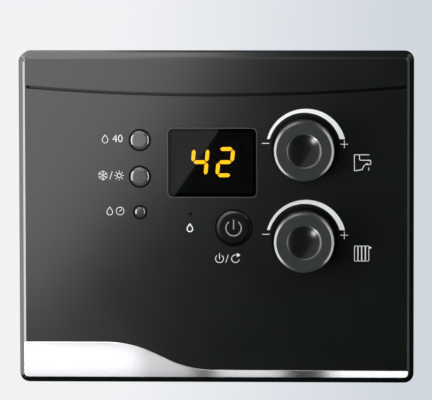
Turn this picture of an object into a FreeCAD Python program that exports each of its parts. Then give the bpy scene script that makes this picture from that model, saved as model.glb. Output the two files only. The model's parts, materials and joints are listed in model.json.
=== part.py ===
import FreeCAD
import Part
import Sketcher
import math
import os
import re

# Control panel of a wall-hung gas boiler: a black moulded front with a display, two knobs and
# three push buttons, over a box that holds the boards.
# The frame is +X right, +Z up, and the front looks along -Y. The origin is the middle of the
# box's rear face. "Depth" below is the distance forward of that face, so depth is -Y.

DIMENSIONS = {
    # outer form of the front
    "panel_width": 267.0,
    "panel_height": 224.0,
    "panel_corner": 6.5,
    "bevel": 3.6,
    "crease": 0.82,
    "box_depth": 78.0,
    "skirt_depth": 26.0,
    "wall": 3.0,
    "ledge_width": 3.0,
    # curved joint between the two front mouldings
    "strip_height": 22.8,
    "seam_sag": 5.8,
    "seam_gap": 2.2,
    "lip_reach": 5.0,
    "lip_thick": 3.0,
    "lip_gap": 0.3,
    # bright trim along the lower edge
    "trim_inset": 3.4,
    "trim_corner": 3.0,
    "trim_tall": 24.4,
    "trim_low": 5.5,
    "trim_thick": 1.6,
    "trim_seat": 1.0,
    "trim_edge": 0.4,
    "sweep_x": -37.4,
    "sweep_radius": 74.5,
    "sweep_slope": 0.47,
    "fit_gap": 0.15,
    # display
    "display_x": -2.6,
    "display_drop": 45.9,
    "window_width": 61.2,
    "window_height": 47.8,
    "window_corner": 3.9,
    "window_seat": 2.0,
    "window_thick": 1.7,
    "bezel_width": 0.8,
    "bezel_proud": 0.35,
    "sight_margin": 3.0,
    "module_width": 38.0,
    "module_height": 28.0,
    "module_depth": 9.6,
    "digit_height": 20.3,
    "digit_width": 11.8,
    "digit_pitch": 17.2,
    "digit_slant": 0.09,
    "segment_width": 2.5,
    "segment_gap": 0.45,
    "segment_thick": 0.4,
    # push buttons and indicators
    "button_x": -51.4,
    "button_drop": 30.6,
    "button_pitch": 24.8,
    "button_diameter": 12.8,
    "button_proud": 1.6,
    "button_slope": 2.1,
    "button_fall": 0.6,
    "button_round": 0.25,
    "button_travel": 1.2,
    "button_flange": 1.4,
    "button_flange_thick": 1.3,
    "stem_diameter": 5.0,
    "power_x": 11.9,
    "power_drop": 20.2,
    "power_diameter": 23.2,
    "slide_gap": 0.2,
    "stop_gap": 0.3,
    "collar_width": 0.85,
    "collar_proud": 0.3,
    "collar_flange": 1.5,
    "collar_flange_thick": 1.6,
    "lens_diameter": 7.6,
    "lens_drop": 48.9,
    "lens_proud": 1.2,
    "lens_slope": 2.2,
    "lens_fall": 0.7,
    "pipe_diameter": 2.2,
    "pipe_flange": 4.4,
    "flame_x": -17.4,
    "flame_drop": 10.8,
    "marker_x": 26.5,
    "marker_z": -11.0,
    # knobs and their scales
    "knob_x": 59.9,
    "knob_drop": 36.4,
    "knob_pitch": 61.6,
    "knob_diameter": 42.0,
    "knob_taper": 0.7,
    "knob_proud": 20.0,
    "knob_bevel": 1.7,
    "knob_fall": 0.8,
    "knob_round": 0.4,
    "knob_wall": 2.4,
    "knob_gap": 0.6,
    "dish_diameter": 23.6,
    "dish_depth": 2.6,
    "dish_round": 1.4,
    "well_gap": 1.4,
    "well_depth": 1.4,
    "hub_diameter": 11.0,
    "hub_short": 1.8,
    "shaft_diameter": 6.0,
    "shaft_fit": 0.05,
    "shaft_flat": 1.5,
    "bushing_diameter": 9.0,
    "dial_radius": 25.8,
    "dial_width": 2.6,
    "dial_taper": 0.85,
    "dial_cut": 6.7,
    "dial_thick": 0.9,
    "dial_seat": 0.7,
    # boards
    "board_thick": 1.6,
    "board_gap": 13.0,
    "board_inset": 5.0,
    "front_board_x": 13.0,
    "front_board_drop": 69.4,
    "front_board_width": 166.0,
    "front_board_height": 106.0,
    "main_board_lift": 32.0,
    "main_board_width": 180.0,
    "main_board_height": 140.0,
    "boss_diameter": 8.0,
    "pilot_diameter": 2.6,
    "pilot_depth": 9.0,
    "screw_gap": 0.1,
    "screw_head": 5.6,
    "head_height": 2.2,
    "switch_side": 6.2,
    "switch_height": 3.8,
    "plunger_diameter": 3.4,
    "plunger_top": 5.0,
    "plunger_depth": 2.8,
    "pot_side": 16.0,
    "pot_height": 7.0,
    "led_side": 3.0,
    "led_height": 1.2,
    "tip_gap": 1.0,
    "ribbon_x": -30.0,
    "ribbon_low": -20.0,
    "ribbon_high": 16.0,
    "ribbon_width": 24.0,
    "ribbon_thick": 0.9,
    "header_margin": 3.0,
    "header_height": 6.0,
    "header_depth": 5.0,
    "relay_pitch": 24.0,
    "can_x": -4.0,
    "can_z": 16.0,
    "can_pitch": 22.0,
    "can_diameter": 16.0,
    "can_depth": 22.0,
    "buzzer_x": 10.0,
    "buzzer_z": -2.0,
    "buzzer_diameter": 14.0,
    "buzzer_depth": 9.0,
    "fin_pitch": 4.4,
    "fin_gap": 2.0,
    "fin_root": 5.0,
    "terminal_pitch": 10.0,
    "terminal_well": 5.0,
    "socket_pitch": 26.0,
    "socket_wall": 1.5,
    "fuse_diameter": 5.2,
    "fuse_length": 20.0,
    # rear box
    "housing_inset_x": 13.5,
    "housing_inset_z": 17.0,
    "housing_wall": 2.8,
    "housing_round": 4.0,
    "flange_gap": 0.4,
    "flange_inset": 2.0,
    "flange_thick": 4.0,
    "gasket_thick": 2.0,
    "gasket_width": 2.4,
    "joint_pitch": 100.0,
    "joint_inset": 7.0,
    "side_joint_inset": 6.9,
    "side_joint_drop": 28.4,
    "joint_screw": 3.4,
    "joint_head": 7.0,
    "joint_depth": 12.0,
    "ear_pitch": 160.0,
    "ear_width": 18.0,
    "ear_reach": 8.5,
    "ear_thick": 4.0,
    "ear_hole": 4.6,
    "pin_diameter": 6.0,
    "pin_length": 20.0,
    "pin_reach": 8.0,
    "pin_lift": 13.0,
    "pin_depth": 14.0,
    "pin_root": 7.0,
    "pin_boss": 12.0,
    "lid_lift": 45.0,
    "lid_width": 140.0,
    "lid_height": 64.0,
    "lid_rim": 12.0,
    "lid_seat": 3.0,
    "lid_thick": 1.5,
    "lid_plug": 2.4,
    "frame_depth": 5.0,
    "frame_margin": 5.0,
    "vent_width": 4.0,
    "vent_length": 26.0,
    "vent_pitch": 16.0,
    "vent_depth": 30.0,
    "grommet_hole": 16.0,
    "grommet_diameter": 20.0,
    "grommet_lip": 3.0,
    "grommet_pitch": 50.0,
    "grommet_depth": 24.0,
}

# Blocks on the main board: place across and up, then width, height and depth
BOARD_BLOCKS = {
    "core": (36.0, 44.0, 50.0, 42.0, 19.0),
    "bobbin": (36.0, 44.0, 32.0, 50.0, 25.0),
    "coil": (38.0, -8.0, 38.0, 28.0, 20.0),
    "blade": (38.0, -8.0, 6.3, 0.8, 26.0),
    "relay": (2.0, 50.0, 19.0, 15.5, 15.5),
    "sink": (16.0, 12.0, 20.0, 26.0, 20.0),
    "processor": (38.0, 14.0, 14.0, 14.0, 1.8),
    "driver": (30.0, -14.0, 12.0, 7.0, 1.8),
    "terminal": (-24.0, -56.0, 62.0, 13.0, 16.0),
    "socket": (-45.0, -34.0, 18.0, 9.0, 11.0),
    "carrier": (44.0, -58.0, 28.0, 9.0, 9.0),
}
for part, sizes in BOARD_BLOCKS.items():
    for word, number in zip(("x", "z", "width", "height", "depth"), sizes):
        DIMENSIONS[f"{part}_{word}"] = number

# Depths of the main layers, from the driving dimensions
FRONT = "box_depth"
INNER = "(box_depth - wall)"
SKIRT_END = "(box_depth - skirt_depth)"
FLANGE_BACK = "(box_depth - skirt_depth + flange_inset)"
FLANGE_FRONT = "(box_depth - skirt_depth + flange_inset + flange_thick)"
LEDGE = "(box_depth - skirt_depth + flange_inset + flange_thick + gasket_thick)"
BOARD_FRONT = "(box_depth - wall - board_gap)"
BOARD_BACK = "(box_depth - wall - board_gap - board_thick)"
COLLAR_BACK = "(box_depth - wall - collar_flange_thick)"
BUTTON_SEAT = "(box_depth - wall - collar_flange_thick - stop_gap)"
PLUNGER_TOP = "(box_depth - wall - board_gap + plunger_top)"
SEGMENT_SEAT = "(box_depth - wall - board_gap + module_depth)"
MAIN_FRONT = "(main_board_lift + board_thick)"

# Other places and sizes that several pieces share
SEAM_Z = "(panel_height / 2 - strip_height)"
SEAM_LOW = "(panel_height / 2 - strip_height - seam_sag)"
DISPLAY_Z = f"({SEAM_LOW} - display_drop)"
WINDOW_LOW = f"({DISPLAY_Z} - window_height / 2)"
POWER_Z = f"({WINDOW_LOW} - power_drop)"
FLAME_Z = f"({WINDOW_LOW} - flame_drop)"
BUTTON_Z = f"({SEAM_LOW} - button_drop)"
KNOB_Z = f"({SEAM_LOW} - knob_drop)"
FRONT_BOARD_Z = f"({SEAM_LOW} - front_board_drop)"
SIDE_JOINT_Z = f"({SEAM_LOW} - side_joint_drop)"
HOUSING_WIDTH = "(panel_width - 2 * housing_inset_x)"
HOUSING_HEIGHT = "(panel_height - 2 * housing_inset_z)"
LID_Z = f"(lid_lift - {HOUSING_HEIGHT} / 2)"
PIN_Z = f"(pin_lift - {HOUSING_HEIGHT} / 2)"
SEAM_RADIUS = "((panel_width^2 / 4 + seam_sag^2) / (2 * seam_sag))"
SEAM_CENTRE = f"({SEAM_LOW} + {SEAM_RADIUS})"
FLANGE_WIDTH = "(panel_width - 2 * wall - 2 * flange_gap)"
FLANGE_HEIGHT = "(panel_height - 2 * wall - 2 * flange_gap)"
FACE_RIGHT = "(panel_width / 2 - trim_inset)"
FACE_BOTTOM = "(trim_inset - panel_height / 2)"
JOINT_Z = "(panel_height / 2 - wall - joint_inset)"
SIDE_JOINT_X = "(panel_width / 2 - wall - side_joint_inset)"
KNOB_PLACES = {"dhw": KNOB_Z, "heating": f"({KNOB_Z} - knob_pitch)"}
BUTTON_PLACES = {
    "dhw_button": ("button_x", BUTTON_Z, "button_diameter"),
    "season_button": ("button_x", f"({BUTTON_Z} - button_pitch)", "button_diameter"),
    "power_button": ("power_x", POWER_Z, "power_diameter"),
}
LENS_PLACE = ("button_x", f"({BUTTON_Z} - lens_drop)")
PIPE_PLACES = [("flame_x", FLAME_Z)] + [
    ("(knob_x + marker_x)", f"({z} + marker_z)") for z in KNOB_PLACES.values()
]
TOP_JOINTS = [(f"({side} * joint_pitch)", JOINT_Z) for side in (-1, 0, 1)]
LOWER_JOINTS = [(x, f"(-{z})") for x, z in TOP_JOINTS] + [
    (f"({side} * {SIDE_JOINT_X})", SIDE_JOINT_Z) for side in (-1, 1)
]
FRONT_BOARD_HOLES = [
    (
        f"(front_board_x + {i} * (front_board_width / 2 - board_inset))",
        f"({FRONT_BOARD_Z} + {k} * (front_board_height / 2 - board_inset))",
    )
    for i in (-1, 1)
    for k in (-1, 1)
]
MAIN_BOARD_HOLES = [
    (f"({i} * (main_board_width / 2 - board_inset))", f"({k} * (main_board_height / 2 - board_inset))")
    for i in (-1, 1)
    for k in (-1, 1)
]

doc = FreeCAD.newDocument("boiler_control_panel")
sheet = doc.addObject("Spreadsheet::Sheet", "Dims")
for row, (alias, number) in enumerate(DIMENSIONS.items(), 1):
    sheet.set(f"A{row}", alias)
    sheet.set(f"B{row}", str(number))
    sheet.setAlias(f"B{row}", alias)
doc.recompute()

NAME = re.compile(r"[a-z_][a-z0-9_]*")
subparts = {}


def linked(expression):
    """The expression with each dimension's name pointing at its cell."""
    return NAME.sub(lambda m: f"Dims.{m[0]}" if m[0] in DIMENSIONS else m[0], str(expression))


def size(expression):
    """What an expression of the sheet's dimensions comes to now."""
    return float(sheet.evalExpression(linked(expression)))


def bind(item, prop, expression):
    item.setExpression(prop, linked(expression))


def keep(item, label):
    """Makes an object one of the handed-in pieces, under its own label."""
    item.Label = label
    subparts[label] = item
    return item


# Sketches

PLANES = {"front": "XZ_Plane", "floor": "XY_Plane", "side": "YZ_Plane"}


class Drawing:
    """A sketch on one of a body's planes, lifted along the plane's normal.

    Front: x right, y up, lifted forward. Floor: x right, y back, lifted up. Side: x back, y up,
    lifted to the right."""

    def __init__(self, body, plane, lift):
        self.sketch = body.newObject("Sketcher::SketchObject", "Sketch")
        origin_plane = next(f for f in body.Origin.OriginFeatures if f.Role == PLANES[plane])
        self.sketch.AttachmentSupport = [(origin_plane, "")]
        self.sketch.MapMode = "FlatFace"
        bind(self.sketch, "AttachmentOffset.Base.z", lift)

    def fix(self, geometry, vertex, x, y):
        """Ties one point of a curve to the sheet."""
        for kind, expression in (("DistanceX", x), ("DistanceY", y)):
            if expression is not None:
                number = self.sketch.addConstraint(
                    Sketcher.Constraint(kind, -1, 1, geometry, vertex, size(expression))
                )
                bind(self.sketch, f"Constraints[{number}]", expression)

    def circle(self, x, y, diameter):
        centre = FreeCAD.Vector(size(x), size(y), 0)
        ring = Part.Circle(centre, FreeCAD.Vector(0, 0, 1), size(diameter) / 2)
        geometry = self.sketch.addGeometry(ring, False)
        self.fix(geometry, 3, x, y)
        number = self.sketch.addConstraint(Sketcher.Constraint("Diameter", geometry, size(diameter)))
        bind(self.sketch, f"Constraints[{number}]", diameter)
        return self

    def arc(self, start, end, centre_x=None, centre_y=None):
        """An arc of under half a turn between two points, its centre at the given x or y."""
        (ax, ay), (bx, by) = start, end
        mid_x, mid_y = (ax + bx) / 2, (ay + by) / 2
        if centre_x is not None:
            cx = size(centre_x)
            cy = mid_y - (cx - mid_x) * (bx - ax) / (by - ay)
        else:
            cy = size(centre_y)
            cx = mid_x - (cy - mid_y) * (by - ay) / (bx - ax)
        first = math.atan2(ay - cy, ax - cx)
        last = math.atan2(by - cy, bx - cx)
        turned = (last - first) % (2 * math.pi) > math.pi
        if turned:
            first, last = last, first
        ring = Part.Circle(FreeCAD.Vector(cx, cy, 0), FreeCAD.Vector(0, 0, 1), math.hypot(ax - cx, ay - cy))
        geometry = self.sketch.addGeometry(Part.ArcOfCircle(ring, first, last), False)
        return geometry, (2 if turned else 1), (1 if turned else 2)

    def outline(self, points, arcs=None):
        """A closed outline. arcs maps a side's number to the x or y of its arc's centre."""
        arcs = arcs or {}
        places = [(size(x), size(y)) for x, y in points]
        sides = []
        for i, start in enumerate(places):
            end = places[(i + 1) % len(places)]
            if i in arcs:
                sides.append(self.arc(start, end, **arcs[i]))
            else:
                line = Part.LineSegment(FreeCAD.Vector(*start, 0), FreeCAD.Vector(*end, 0))
                sides.append((self.sketch.addGeometry(line, False), 1, 2))
        joins = []
        for i, (geometry, _, last) in enumerate(sides):
            following, first, _ = sides[(i + 1) % len(sides)]
            joins.append(Sketcher.Constraint("Coincident", geometry, last, following, first))
        self.sketch.addConstraint(joins)
        for (geometry, first, _), (x, y) in zip(sides, points):
            self.fix(geometry, first, x, y)
        for i, centre in arcs.items():
            self.fix(sides[i][0], 3, centre.get("centre_x"), centre.get("centre_y"))
        return self

    def rectangle(self, x, y, width, height, corner=None):
        """A rectangle about its middle, with rounded corners where a radius is given."""
        left, right = f"({x} - ({width}) / 2)", f"({x} + ({width}) / 2)"
        low, high = f"({y} - ({height}) / 2)", f"({y} + ({height}) / 2)"
        if corner is None:
            return self.outline([(left, low), (right, low), (right, high), (left, high)])
        near_left, near_right = f"({left} + ({corner}))", f"({right} - ({corner}))"
        near_low, near_high = f"({low} + ({corner}))", f"({high} - ({corner}))"
        points = [
            (near_left, low),
            (near_right, low),
            (right, near_low),
            (right, near_high),
            (near_right, high),
            (near_left, high),
            (left, near_high),
            (left, near_low),
        ]
        on_right, on_left = {"centre_x": near_right}, {"centre_x": near_left}
        return self.outline(points, {1: on_right, 3: on_right, 5: on_left, 7: on_left})


# Features of a body


def new_body():
    body = doc.addObject("PartDesign::Body", "Body")
    body.AllowCompound = True
    return body


def pad(body, drawing, length):
    feature = body.newObject("PartDesign::Pad", "Pad")
    feature.Profile = drawing.sketch
    bind(feature, "Length", length)
    return feature


def pocket(body, drawing, depth):
    """Cuts against the drawing's normal, and makes sure that something was cut."""
    doc.recompute()
    before = body.Shape.Volume
    feature = body.newObject("PartDesign::Pocket", "Pocket")
    feature.Profile = drawing.sketch
    bind(feature, "Length", depth)
    doc.recompute()
    if not before - body.Shape.Volume > 1e-6:
        raise RuntimeError(f"{body.Label}: {feature.Name} cuts nothing")
    return feature


def revolve(body, points, arcs=None):
    """A turned form about the depth axis, from an outline of radius and depth."""
    drawing = Drawing(body, "floor", "0")
    half = [(radius, f"(-({depth}))") for radius, depth in points]
    drawing.outline(half, arcs)
    feature = body.newObject("PartDesign::Revolution", "Revolution")
    feature.Profile = drawing.sketch
    feature.ReferenceAxis = (drawing.sketch, ["V_Axis"])
    feature.Angle = 360
    return feature


def fillet(body, chosen, radius):
    """Rounds the edges that the test picks."""
    doc.recompute()
    base = body.Tip
    names = [f"Edge{i}" for i, edge in enumerate(base.Shape.Edges, 1) if chosen(edge)]
    if not names:
        raise RuntimeError(f"{body.Label}: no edge to round")
    feature = body.newObject("PartDesign::Fillet", "Fillet")
    feature.Base = (base, names)
    bind(feature, "Radius", radius)
    return feature


def chamfer(body, chosen, width):
    """Bevels the edges that the test picks, by the same width on both sides."""
    doc.recompute()
    base = body.Tip
    names = [f"Edge{i}" for i, edge in enumerate(base.Shape.Edges, 1) if chosen(edge)]
    if not names:
        raise RuntimeError(f"{body.Label}: no edge to bevel")
    feature = body.newObject("PartDesign::Chamfer", "Chamfer")
    feature.Base = (base, names)
    bind(feature, "Size", width)
    return feature


def runs_deep(edge):
    """A straight edge that runs from back to front."""
    if not isinstance(edge.Curve, (Part.Line, Part.LineSegment)):
        return False
    return abs(edge.tangentAt(edge.FirstParameter).y) > 0.999


def lies_at(depth):
    """A test for edges that lie wholly at one depth."""
    place = -size(depth)
    return lambda edge: max(abs(edge.BoundBox.YMin - place), abs(edge.BoundBox.YMax - place)) < 1e-4


def ring_at(depth, radius):
    """A test for a circle about the depth axis."""
    level = lies_at(depth)
    reach = size(radius)
    return lambda edge: level(edge) and abs(edge.BoundBox.XMax - reach) < 1e-4


def put(item, x, z):
    """Places an object that is modelled on the depth axis."""
    bind(item, "Placement.Base.x", x)
    bind(item, "Placement.Base.z", z)
    return item


# Primitives and booleans


def block(x, z, width, height, back, front):
    item = doc.addObject("Part::Box", "Block")
    bind(item, "Length", width)
    bind(item, "Width", f"({front}) - ({back})")
    bind(item, "Height", height)
    bind(item, "Placement.Base.x", f"({x}) - ({width}) / 2")
    bind(item, "Placement.Base.y", f"-({front})")
    bind(item, "Placement.Base.z", f"({z}) - ({height}) / 2")
    return item


def rod(x, z, diameter, back, front):
    """A cylinder that runs from back to front."""
    item = doc.addObject("Part::Cylinder", "Rod")
    item.Placement.Rotation = FreeCAD.Rotation(FreeCAD.Vector(1, 0, 0), 90)
    bind(item, "Radius", f"({diameter}) / 2")
    bind(item, "Height", f"({front}) - ({back})")
    bind(item, "Placement.Base.x", x)
    bind(item, "Placement.Base.y", f"-({back})")
    bind(item, "Placement.Base.z", z)
    return item


def bar(left, right, depth, z, diameter):
    """A cylinder that runs across."""
    item = doc.addObject("Part::Cylinder", "Bar")
    item.Placement.Rotation = FreeCAD.Rotation(FreeCAD.Vector(0, 1, 0), 90)
    bind(item, "Radius", f"({diameter}) / 2")
    bind(item, "Height", f"({right}) - ({left})")
    bind(item, "Placement.Base.x", left)
    bind(item, "Placement.Base.y", f"-({depth})")
    bind(item, "Placement.Base.z", z)
    return item


def cut(base, tool):
    item = doc.addObject("Part::Cut", "Cut")
    item.Base = base
    item.Tool = tool
    return item


def fuse(items):
    item = doc.addObject("Part::MultiFuse", "Fuse")
    item.Shapes = items
    return item


def group(items):
    item = doc.addObject("Part::Compound", "Group")
    item.Links = items
    return item


# Front mouldings


def trim_outline(drawing, gap):
    """The trim's outline: tall on the left, an S-shaped step down, and a low band to the right."""
    lean = "sqrt(1 + sweep_slope^2)"
    run = f"(sweep_radius * sweep_slope / {lean})"
    drop = f"(sweep_radius * (1 - 1 / {lean}))"
    high = f"({FACE_BOTTOM} + trim_tall + {gap})"
    low = f"({FACE_BOTTOM} + trim_low + {gap})"
    half_line = f"((trim_tall - trim_low - 2 * {drop}) / 2)"
    middle = f"(({high} + {low}) / 2)"
    end_x = f"(sweep_x + {half_line} / sweep_slope + {run})"
    start_x = f"(sweep_x - {half_line} / sweep_slope - {run})"
    left, right = f"(-{FACE_RIGHT} - {gap})", f"({FACE_RIGHT} + {gap})"
    bottom = f"({FACE_BOTTOM} - {gap})"
    level = f"({bottom} + trim_corner)"
    corner_left, corner_right = f"({left} + trim_corner)", f"({right} - trim_corner)"
    points = [
        (corner_left, bottom),
        (corner_right, bottom),
        (right, level),
        (right, low),
        (end_x, low),
        (f"(sweep_x + {half_line} / sweep_slope)", f"({middle} - {half_line})"),
        (f"(sweep_x - {half_line} / sweep_slope)", f"({middle} + {half_line})"),
        (start_x, high),
        (left, high),
        (left, level),
    ]
    corners = {1: {"centre_x": corner_right}, 9: {"centre_x": corner_left}}
    drawing.outline(points, {4: {"centre_x": end_x}, 6: {"centre_x": start_x}, **corners})


def dial_outline(drawing, x, z, gap):
    """A scale over a knob: a band that widens from its left end to its right one."""
    inner = f"(dial_radius - dial_width / 2 - {gap})"
    outer = f"(dial_radius + dial_width / 2 + {gap})"
    level = f"(dial_cut - {gap})"
    inner_reach = f"sqrt({inner}^2 - {level}^2)"
    outer_reach = f"sqrt({outer}^2 - {level}^2)"
    height = f"({z} + {level})"
    points = [
        (f"({x} + dial_taper - {outer_reach})", height),
        (f"({x} - {inner_reach})", height),
        (f"({x} + {inner_reach})", height),
        (f"({x} + dial_taper + {outer_reach})", height),
    ]
    drawing.outline(points, {1: {"centre_y": z}, 3: {"centre_y": z}})


def front_shell():
    """The whole front as one shell, with its double bevel and the ledge that the gasket meets."""
    body = new_body()
    slab = Drawing(body, "front", SKIRT_END).rectangle("0", "0", "panel_width", "panel_height")
    pad(body, slab, "skirt_depth")
    fillet(body, runs_deep, "panel_corner")
    chamfer(body, lies_at(FRONT), "bevel")
    chamfer(body, lies_at(FRONT), "crease")
    rim = "2 * (wall + ledge_width)"
    cavity = Drawing(body, "front", INNER)
    cavity.rectangle("0", "0", f"panel_width - {rim}", f"panel_height - {rim}")
    pocket(body, cavity, f"{INNER} - {SKIRT_END}")
    mouth = Drawing(body, "front", LEDGE)
    mouth.rectangle("0", "0", "panel_width - 2 * wall", "panel_height - 2 * wall")
    pocket(body, mouth, f"{LEDGE} - {SKIRT_END}")
    return body


def add_bosses(body, places, back, diameter, pilot, depth):
    """Round bosses on the inner face, with blind pilot holes from behind."""
    bosses = Drawing(body, "front", back)
    holes = Drawing(body, "front", f"{back} + {depth}")
    for x, z in places:
        bosses.circle(x, z, diameter)
        holes.circle(x, z, pilot)
    pad(body, bosses, f"{INNER} - {back} + wall / 4")
    pocket(body, holes, depth)


def cut_at_seam(body, shift, limit):
    """Removes all that lies between the curved joint line, shifted up or down, and a level beyond."""
    side, beyond = "(panel_width / 2)", "(panel_width / 2 + wall)"
    level = f"({SEAM_Z} + {shift})"
    drawing = Drawing(body, "front", FRONT)
    drawing.outline(
        [
            (f"(-{side})", level),
            (side, level),
            (beyond, level),
            (beyond, limit),
            (f"(-{beyond})", limit),
            (f"(-{beyond})", level),
        ],
        {0: {"centre_y": f"({SEAM_CENTRE} + {shift})"}},
    )
    pocket(body, drawing, "skirt_depth")


def seam_band(body, back, low, high):
    """A strip that follows the joint line from side to side inside the moulding."""
    side = "(panel_width / 2 - wall - ledge_width - lip_gap)"
    rise = f"({SEAM_CENTRE} - sqrt({SEAM_RADIUS}^2 - {side}^2))"
    drawing = Drawing(body, "front", back)
    points = [
        (f"(-{side})", f"({rise} + {low})"),
        (side, f"({rise} + {low})"),
        (side, f"({rise} + {high})"),
        (f"(-{side})", f"({rise} + {high})"),
    ]
    arcs = {i: {"centre_y": f"({SEAM_CENTRE} + {shift})"} for i, shift in ((0, low), (2, high))}
    return drawing.outline(points, arcs)


def add_seam_lip(body):
    """A strip behind the joint, carried by the lower moulding, that closes the gap to view."""
    back = f"({INNER} - lip_thick)"
    low = "(-lip_reach)"
    pad(body, seam_band(body, back, low, "(-seam_gap / 2)"), "lip_thick + wall / 4")
    pad(body, seam_band(body, back, low, "lip_reach"), "lip_thick - lip_gap")


def cut_front_openings(body):
    """Everything that opens or sinks the lower moulding's face."""
    sight = Drawing(body, "front", FRONT)
    sight.rectangle(
        "display_x", DISPLAY_Z, "window_width - 2 * sight_margin", "window_height - 2 * sight_margin"
    )
    for x, z, diameter in BUTTON_PLACES.values():
        sight.circle(x, z, f"{diameter} + 2 * (slide_gap + collar_width + fit_gap)")
    sight.circle(*LENS_PLACE, "lens_diameter + 2 * (fit_gap + collar_width + fit_gap)")
    for x, z in PIPE_PLACES:
        sight.circle(x, z, "pipe_diameter + 2 * fit_gap")
    for z in KNOB_PLACES.values():
        sight.circle("knob_x", z, "bushing_diameter + 2 * lip_gap")
    pocket(body, sight, "wall")
    seat = Drawing(body, "front", FRONT)
    wide, high = "window_width + 2 * fit_gap", "window_height + 2 * fit_gap"
    seat.rectangle("display_x", DISPLAY_Z, wide, high, "window_corner + fit_gap")
    pocket(body, seat, "window_seat")
    wells = Drawing(body, "front", FRONT)
    for z in KNOB_PLACES.values():
        wells.circle("knob_x", z, "knob_diameter + 2 * well_gap")
    pocket(body, wells, "well_depth")
    grooves = Drawing(body, "front", FRONT)
    for z in KNOB_PLACES.values():
        dial_outline(grooves, "knob_x", z, "fit_gap")
    pocket(body, grooves, "dial_seat")
    bed = Drawing(body, "front", FRONT)
    trim_outline(bed, "0")
    pocket(body, bed, "trim_seat")


def make_main_fascia():
    body = front_shell()
    add_bosses(body, FRONT_BOARD_HOLES, BOARD_FRONT, "boss_diameter", "pilot_diameter", "pilot_depth")
    joint_pilot = "joint_screw + 2 * screw_gap"
    add_bosses(body, LOWER_JOINTS, FLANGE_FRONT, "boss_diameter", joint_pilot, "joint_depth")
    cut_front_openings(body)
    cut_at_seam(body, "(-seam_gap / 2)", "(panel_height / 2 + wall)")
    add_seam_lip(body)
    keep(body, "main_fascia")


def make_upper_fascia():
    body = front_shell()
    joint_pilot = "joint_screw + 2 * screw_gap"
    add_bosses(body, TOP_JOINTS, FLANGE_FRONT, "boss_diameter", joint_pilot, "joint_depth")
    cut_at_seam(body, "(seam_gap / 2)", "(-panel_height / 2 - wall)")
    keep(body, "upper_fascia")


def make_trim():
    body = new_body()
    drawing = Drawing(body, "front", f"{FRONT} - trim_seat")
    trim_outline(drawing, "(-fit_gap)")
    pad(body, drawing, "trim_thick")
    fillet(body, lies_at(f"{FRONT} - trim_seat + trim_thick"), "trim_edge")
    keep(body, "chrome_trim")


# Display


def window_outline(drawing, inset):
    """The display's rounded outline, set in all round."""
    wide, high = f"window_width - 2 * {inset}", f"window_height - 2 * {inset}"
    drawing.rectangle("display_x", DISPLAY_Z, wide, high, f"window_corner - {inset}")


def make_display():
    seat = f"({FRONT} - window_seat)"
    bezel = new_body()
    frame = Drawing(bezel, "front", seat)
    frame.rectangle("display_x", DISPLAY_Z, "window_width", "window_height", "window_corner")
    pad(bezel, frame, "window_seat + bezel_proud")
    opening = Drawing(bezel, "front", f"{FRONT} + bezel_proud")
    window_outline(opening, "bezel_width")
    pocket(bezel, opening, "window_seat + bezel_proud")
    keep(bezel, "display_bezel")

    window = new_body()
    pane = Drawing(window, "front", seat)
    window_outline(pane, "(bezel_width + fit_gap)")
    pad(window, pane, "window_thick")
    keep(window, "display_window")

    module = new_body()
    case = Drawing(module, "front", BOARD_FRONT)
    case.rectangle("display_x", DISPLAY_Z, "module_width", "module_height")
    pad(module, case, "module_depth")
    keep(module, "display_module")


# Each segment by its ends on a grid of two columns and three rows of the digit
SEGMENTS = {
    "a": ((-1, 1), (1, 1)),
    "b": ((1, 1), (1, 0)),
    "c": ((1, 0), (1, -1)),
    "d": ((-1, -1), (1, -1)),
    "e": ((-1, 0), (-1, -1)),
    "f": ((-1, 1), (-1, 0)),
    "g": ((-1, 0), (1, 0)),
}
READING = {-1: "bcfg", 1: "abdeg"}


def segment_outline(drawing, digit, ends):
    """A six-sided bar between two corners of a digit, leaning with the digit."""
    (column, row), (next_column, next_row) = ends
    upright = column == next_column
    half = "(segment_width / 2)"
    reach_x = "((digit_width - segment_width) / 2)"
    reach_z = "((digit_height - segment_width) / 2)"

    def corner(along_x, along_z, shift_x, shift_z):
        height = f"({along_z} * {reach_z} + {shift_z})"
        middle = f"(display_x + {digit} * digit_pitch / 2)"
        x = f"({middle} + {along_x} * {reach_x} + {shift_x} + digit_slant * {height})"
        return x, f"({DISPLAY_Z} + {height})"

    tip, shoulder = "segment_gap", f"(segment_gap + {half})"
    if upright:
        points = [
            corner(column, row, "0", f"(-{tip})"),
            corner(column, row, half, f"(-{shoulder})"),
            corner(column, next_row, half, shoulder),
            corner(column, next_row, "0", tip),
            corner(column, next_row, f"(-{half})", shoulder),
            corner(column, row, f"(-{half})", f"(-{shoulder})"),
        ]
    else:
        points = [
            corner(column, row, tip, "0"),
            corner(column, row, shoulder, half),
            corner(next_column, row, f"(-{shoulder})", half),
            corner(next_column, row, f"(-{tip})", "0"),
            corner(next_column, row, f"(-{shoulder})", f"(-{half})"),
            corner(column, row, shoulder, f"(-{half})"),
        ]
    drawing.outline(points)


def make_segments():
    for label, lit in (("lit_segments", True), ("unlit_segments", False)):
        body = new_body()
        drawing = Drawing(body, "front", SEGMENT_SEAT)
        for digit, shown in READING.items():
            for letter, ends in SEGMENTS.items():
                if (letter in shown) == lit:
                    segment_outline(drawing, digit, ends)
        pad(body, drawing, "segment_thick")
        keep(body, label)


# Push buttons, indicators and what they act on


def make_collar(label, x, z, bore):
    """A flanged ring that lines a hole of the front from behind."""
    body = new_body()
    inner = f"(({bore}) / 2)"
    outer = f"({inner} + collar_width)"
    rim = f"({outer} + collar_flange)"
    top = f"({FRONT} + collar_proud)"
    revolve(
        body,
        [(inner, COLLAR_BACK), (rim, COLLAR_BACK), (rim, INNER), (outer, INNER), (outer, top), (inner, top)],
    )
    keep(put(body, x, z), label)


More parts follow.
